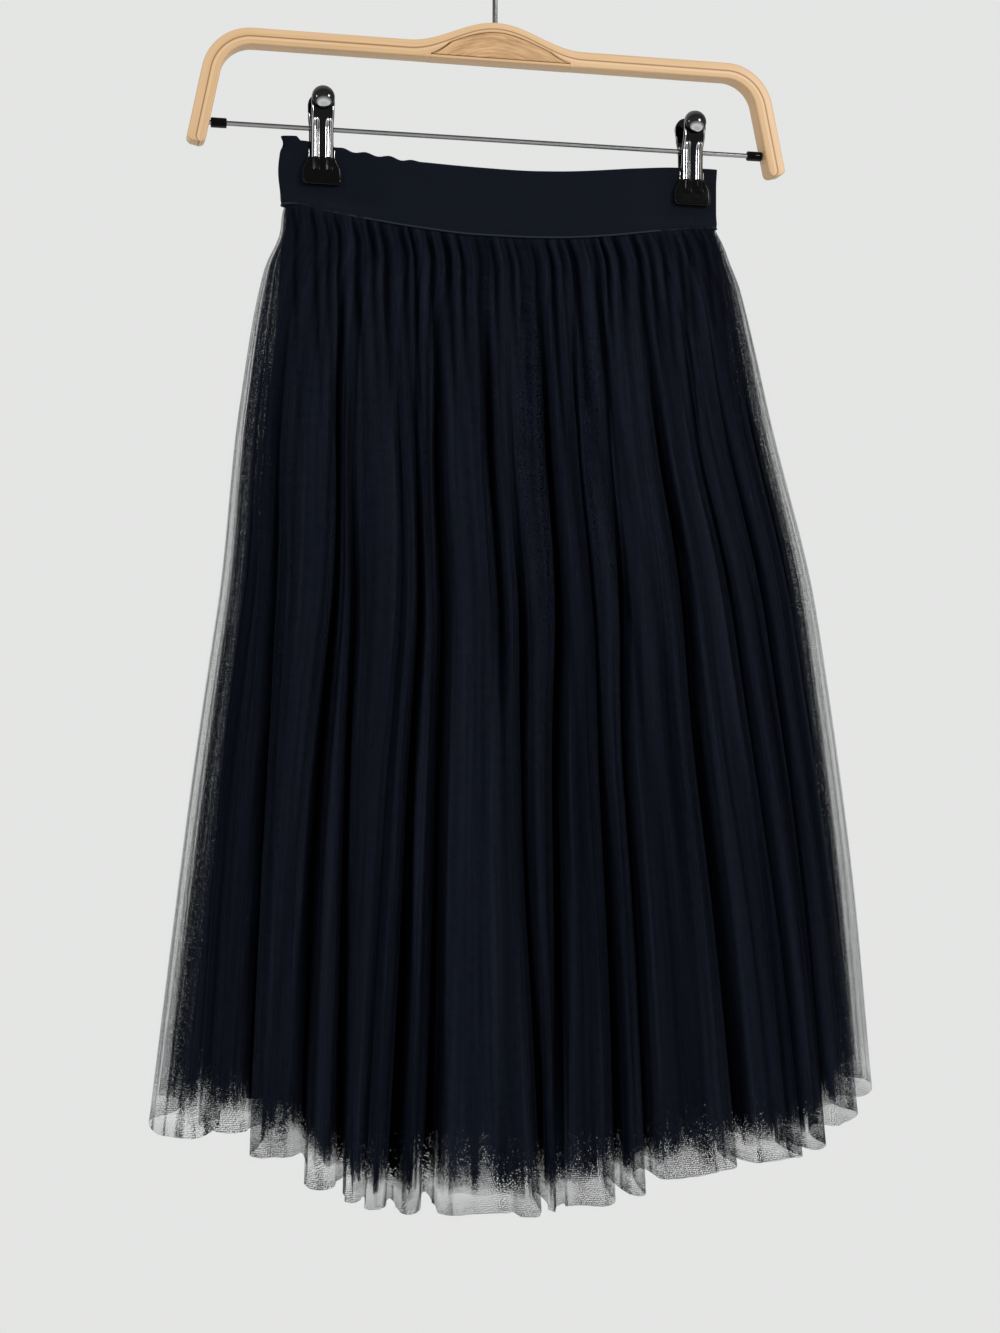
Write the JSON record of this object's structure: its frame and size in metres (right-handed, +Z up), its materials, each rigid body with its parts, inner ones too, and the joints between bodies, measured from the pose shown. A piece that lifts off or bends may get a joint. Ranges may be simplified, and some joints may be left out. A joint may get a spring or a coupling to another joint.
{
  "type": "tulle skirt on a clip hanger",
  "caption": "Gathered midi tulle skirt with an elastic waistband and a lining, held by its band from a bent-wood clip hanger.",
  "frame": {"origin": "inside top of the hanger's hook, where it rests on a rail", "axes": "+Z up, front of the skirt towards -Y, +X to the right as seen from the front"},
  "size_m": [0.5294, 0.2345, 0.8957],
  "materials": {
    "steel": "dull drawn wire",
    "chrome": "bright plated sheet",
    "black_vinyl": "glossy dipped vinyl",
    "wood": "clear satin varnish on light ply",
    "core_wood": "clear satin varnish on darker wood",
    "elastic": "dull fine-ribbed navy elastic",
    "tulle": "sheer navy net",
    "lining": "smooth opaque navy woven cloth"
  },
  "bodies": {
    "root": {"hook": "steel", "hanger_bow": "wood", "hanger_core": "core_wood", "rod": "steel", "rod_sleeve_left": "black_vinyl", "rod_sleeve_right": "black_vinyl", "clip_left_front_lever": "chrome", "clip_left_front_pad": "chrome", "clip_left_front_jaw": "black_vinyl", "clip_left_back_lever": "chrome", "clip_left_back_pad": "chrome", "clip_left_back_jaw": "black_vinyl", "clip_left_spring": "steel", "clip_right_front_lever": "chrome", "clip_right_front_pad": "chrome", "clip_right_front_jaw": "black_vinyl", "clip_right_back_lever": "chrome", "clip_right_back_pad": "chrome", "clip_right_back_jaw": "black_vinyl", "clip_right_spring": "steel", "waistband": "elastic", "tulle_outer": "tulle", "tulle_middle": "tulle", "tulle_inner": "tulle", "lining": "lining"}
  },
  "joints": []
}
